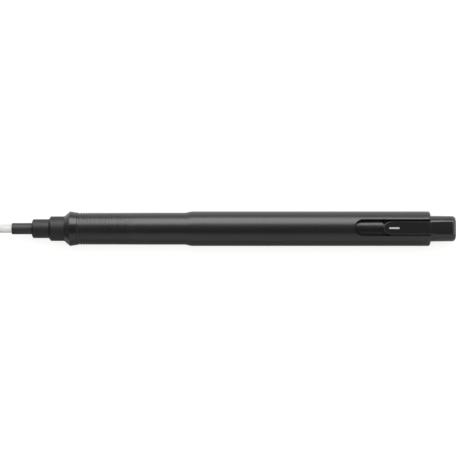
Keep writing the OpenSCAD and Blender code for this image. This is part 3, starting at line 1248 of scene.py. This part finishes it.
@dataclass
class ReturnSpring:
    """Steel coil that brings the button back, closed at both ends, wound as one fixed mesh that keeps its
    length.
    """

    wire: float = 0.45
    coil: float = 5.75
    open_turns: int = 7
    section_sides: int = 12
    steps: int = 40
    weld: float = 0.002
    stroke: float = 7.0

    def turns(self, start: float, pitch: float, count: int) -> Piece:
        """Wind some turns of one pitch with the Screw modifier.

        Args:
            start: Station of the wire's middle at the first turn's start.
            pitch: How far one turn climbs.
            count: Number of turns.

        Returns:
            An open tube of wire.
        """
        bpy.ops.object.select_all(action="DESELECT")
        bpy.ops.mesh.primitive_circle_add(vertices=self.section_sides, radius=self.wire / 2 * MM,
                                          location=place((start, 0, 0)))
        piece = bpy.context.active_object
        bpy.ops.object.transform_apply(location=False, rotation=True, scale=True)
        set_mode("EDIT")
        bpy.ops.mesh.select_all(action="SELECT")
        bpy.ops.transform.translate(value=(0, self.coil / 2 * MM, 0))
        set_mode("OBJECT")
        screw = piece.modifiers.new("Coil", "SCREW")
        screw.axis = "X"
        screw.angle = math.tau
        screw.screw_offset = pitch * MM
        screw.iterations = count
        screw.steps = screw.render_steps = self.steps
        bpy.ops.object.modifier_apply(modifier=screw.name)
        bpy.ops.object.transform_apply(location=True, rotation=False, scale=False)
        return piece

    def build(self, shop: Workshop) -> None:
        """Wind the three stretches, join them into one wire and fit it.

        Args:
            shop: Where the piece gets its finish and its place.
        """
        front, rear = front_of("return_spring"), rear_of("return_spring")
        climb = rear - front - 3 * self.wire
        first = front + self.wire / 2
        stretches = [
            self.turns(first, self.wire, 1),
            self.turns(first + self.wire, climb / self.open_turns, self.open_turns),
            self.turns(first + self.wire + climb, self.wire, 1),
        ]
        bpy.ops.object.select_all(action="DESELECT")
        for stretch in stretches:
            stretch.select_set(True)
        bpy.context.view_layer.objects.active = stretches[0]
        bpy.ops.object.join()
        piece = bpy.context.active_object
        piece.name = piece.data.name = "spring_coil"
        set_mode("EDIT")
        bpy.ops.mesh.select_all(action="SELECT")
        bpy.ops.mesh.remove_doubles(threshold=self.weld * MM)
        bpy.ops.mesh.select_all(action="DESELECT")
        bpy.ops.mesh.select_non_manifold()
        bpy.ops.mesh.fill_holes(sides=0)
        close_up(smooth_angle=50.0)
        shop.fit(mark_wear(piece), Finish.STEEL, "return_spring")
        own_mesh(piece)


@dataclass
class Clutchwork:
    """Inner parts that keep the frame's own shapes: collet, ring, bush, washer, tubes, brake and seal."""

    parts: tuple[tuple[str, Finish, str], ...] = (
        ("chuck", Finish.BRASS, "brass"),
        ("clutch_ring", Finish.BRASS, "brass"),
        ("chuck_bush", Finish.BRASS, "brass"),
        ("spring_washer", Finish.STEEL, "steel"),
        ("chuck_coupling", Finish.ACETAL, "natural_plastic"),
        ("guide_tube", Finish.ACETAL, "natural_plastic"),
        ("centring_ring", Finish.ACETAL, "natural_plastic"),
        ("core_brake", Finish.RUBBER, "brake_rubber"),
        ("nose_seal", Finish.RUBBER, "seal_rubber"),
    )

    def build(self, shop: Workshop) -> None:
        """Dress each part.

        Args:
            shop: Where the parts get their finishes.
        """
        for node, finish, slot in self.parts:
            shop.dress(node, finish, slot)


# Studio


class Seen(Enum):
    """Which light a lamp gives: the soft light on matt surfaces, or the shine on smooth ones."""

    SOFT = "visible_glossy"
    SHINE = "visible_diffuse"


@dataclass(frozen=True)
class Lamp:
    """A softbox that faces the pen, with its distance and its sides in metres."""

    name: str
    tilt: float
    turn: float
    distance: float
    length: float
    width: float
    power: float
    seen: Seen

    def light(self) -> None:
        """Hang the lamp: tilt counts in degrees from straight above, turn in degrees round from +Y."""
        tilt, turn = math.radians(self.tilt), math.radians(self.turn)
        back = Vector((math.sin(tilt) * math.sin(turn), math.sin(tilt) * math.cos(turn), math.cos(tilt)))
        bpy.ops.object.light_add(type="AREA", location=back * self.distance)
        lamp = bpy.context.active_object
        lamp.name = lamp.data.name = self.name
        lamp.rotation_euler = back.to_track_quat("Z", "Y").to_euler()
        lamp.data.shape = "RECTANGLE"
        lamp.data.size = self.length
        lamp.data.size_y = self.width
        lamp.data.energy = self.power
        lamp.visible_camera = False
        setattr(lamp, self.seen.value, False)


@dataclass
class Studio:
    """Pale floor, soft light and the camera almost straight above the pen.

    Each flag has its material, its colour and the stations of its two ends. Floor and lamps are in metres.
    """

    floor_size: float = 4.0
    floor_drop: float = 0.02
    floor_colour: str = "#8c8c8b"
    floor_cloud: float = 90.0
    floor_shade: float = 0.99
    floor_glow: float = 0.82
    flags: tuple[tuple[str, str, float, float], ...] = (
        ("matt_black_card", "#303030", -130.0, 0.0), ("matt_light_card", "#d8d8d8", 0.0, 12.0),
        ("matt_grey_card", "#909090", 12.0, 127.5), ("matt_pale_card", "#c0c0c0", 127.5, 330.0),
    )
    flag_edge: float = 1.5
    flag_depth: float = 500.0
    flag_height: float = 0.1
    wall_grey: float = 0.92
    room_grey: float = 0.05
    picture_width: float = 137.1
    lens: float = 200.0
    sensor: float = 36.0
    elevation: float = 86.0
    aim: tuple[float, float] = (0.30, 0.20)
    lamps: tuple[Lamp, ...] = (
        Lamp("softbox_above", 14.0, 0.0, 1.2, 1.6, 1.6, 24.0, Seen.SOFT),
        Lamp("softbox_far_side", 52.2, 0.0, 1.0, 2.2, 0.81, 29.5, Seen.SHINE),
        Lamp("softbox_near_side", 68.0, 180.0, 1.0, 2.2, 1.1, 5.7, Seen.SHINE),
        Lamp("softbox_button_end", 70.0, 90.0, 1.0, 1.0, 1.0, 6.0, Seen.SHINE),
    )

    def floor(self) -> None:
        """Lay the floor, a pale opal board that is lit from below, so that the pen's shadow stays faint."""
        bpy.ops.object.select_all(action="DESELECT")
        bpy.ops.mesh.primitive_plane_add(size=self.floor_size, location=(0, 0, -self.floor_drop * MM))
        board = bpy.context.active_object
        board.name = board.data.name = "floor"
        pale = linear(self.floor_colour)
        material, tree, shader = new_material(
            "backlit_opal_board", Roughness=0.9, Specular_IOR_Level=0.1, Emission_Color=pale,
            Emission_Strength=self.floor_glow / pale[0])
        colour = add(tree, "ShaderNodeMix", {0: speckle(tree, (self.floor_cloud,) * 3)}, data_type="RGBA",
                     in_6=pale, in_7=linear(self.floor_colour, self.floor_shade))
        tree.links.new(colour.outputs[2], shader.inputs["Base Color"])
        board.data.materials.append(material)

    def flag(self, name: str, colour: str, start: float, end: float) -> None:
        """Lay a card beside the pen that only its shine sees, to darken or lighten its near side there.

        Args:
            name: Name of the card's material.
            colour: The card's colour.
            start: Station where the card begins.
            end: Station where it ends.
        """
        bpy.ops.object.select_all(action="DESELECT")
        middle = place(((start + end) / 2, -self.flag_edge - self.flag_depth / 2, 0))
        bpy.ops.mesh.primitive_plane_add(size=MM, location=(middle.x, middle.y, self.flag_height * MM))
        card = bpy.context.active_object
        card.scale = (end - start, self.flag_depth, 1)
        card.name = card.data.name = name + "_flag"
        card.data.materials.append(new_material(name, Base_Color=linear(colour), Roughness=1.0)[0])
        card.visible_camera = card.visible_diffuse = card.visible_shadow = False

    def air(self) -> None:
        """Set a pale background that hardly lights the pen."""
        world = bpy.data.worlds.new("studio")
        bpy.context.scene.world = world
        world.use_nodes = True
        tree = world.node_tree
        tree.nodes.clear()
        eye = add(tree, "ShaderNodeLightPath").outputs["Is Camera Ray"]
        wall = add(tree, "ShaderNodeBackground", in_Color=(*(self.wall_grey,) * 3, 1.0))
        room = add(tree, "ShaderNodeBackground", in_Color=(*(self.room_grey,) * 3, 1.0))
        mixed = add(tree, "ShaderNodeMixShader", {0: eye, 1: room.outputs[0], 2: wall.outputs[0]})
        add(tree, "ShaderNodeOutputWorld", {0: mixed.outputs[0]})

    def camera(self) -> None:
        """Place the camera so that the picture is as wide as the photograph at the pen's axis."""
        up = math.radians(self.elevation)
        distance = self.picture_width * MM * self.lens / self.sensor
        target = Vector((self.aim[0] * MM, self.aim[1] * MM, AXIS_Z))
        bpy.ops.object.camera_add(location=target + Vector((0, -math.cos(up), math.sin(up))) * distance,
                                  rotation=(math.pi / 2 - up, 0, 0))
        camera = bpy.context.active_object
        camera.data.lens = self.lens
        camera.data.sensor_width = self.sensor
        bpy.context.scene.camera = camera

    def build(self) -> None:
        """Set the whole studio up."""
        bpy.context.scene.view_settings.view_transform = "Standard"
        self.floor()
        for flag in self.flags:
            self.flag(*flag)
        self.air()
        for lamp in self.lamps:
            lamp.light()
        self.camera()
        log.info("studio: floor, %d cards, %d softboxes and camera", len(self.flags), len(self.lamps))


def main() -> None:
    """Build the pen from tip to button, then the studio round it."""
    logging.basicConfig(level=logging.INFO, format="%(name)s: %(message)s")
    shop = Workshop()
    Nose().build(shop)
    Barrel().build(shop)
    PushButton().build(shop)
    EraserCore().build(shop)
    ReturnSpring().build(shop)
    Clutchwork().build(shop)
    Studio().build()


if __name__ == "__main__":
    main()
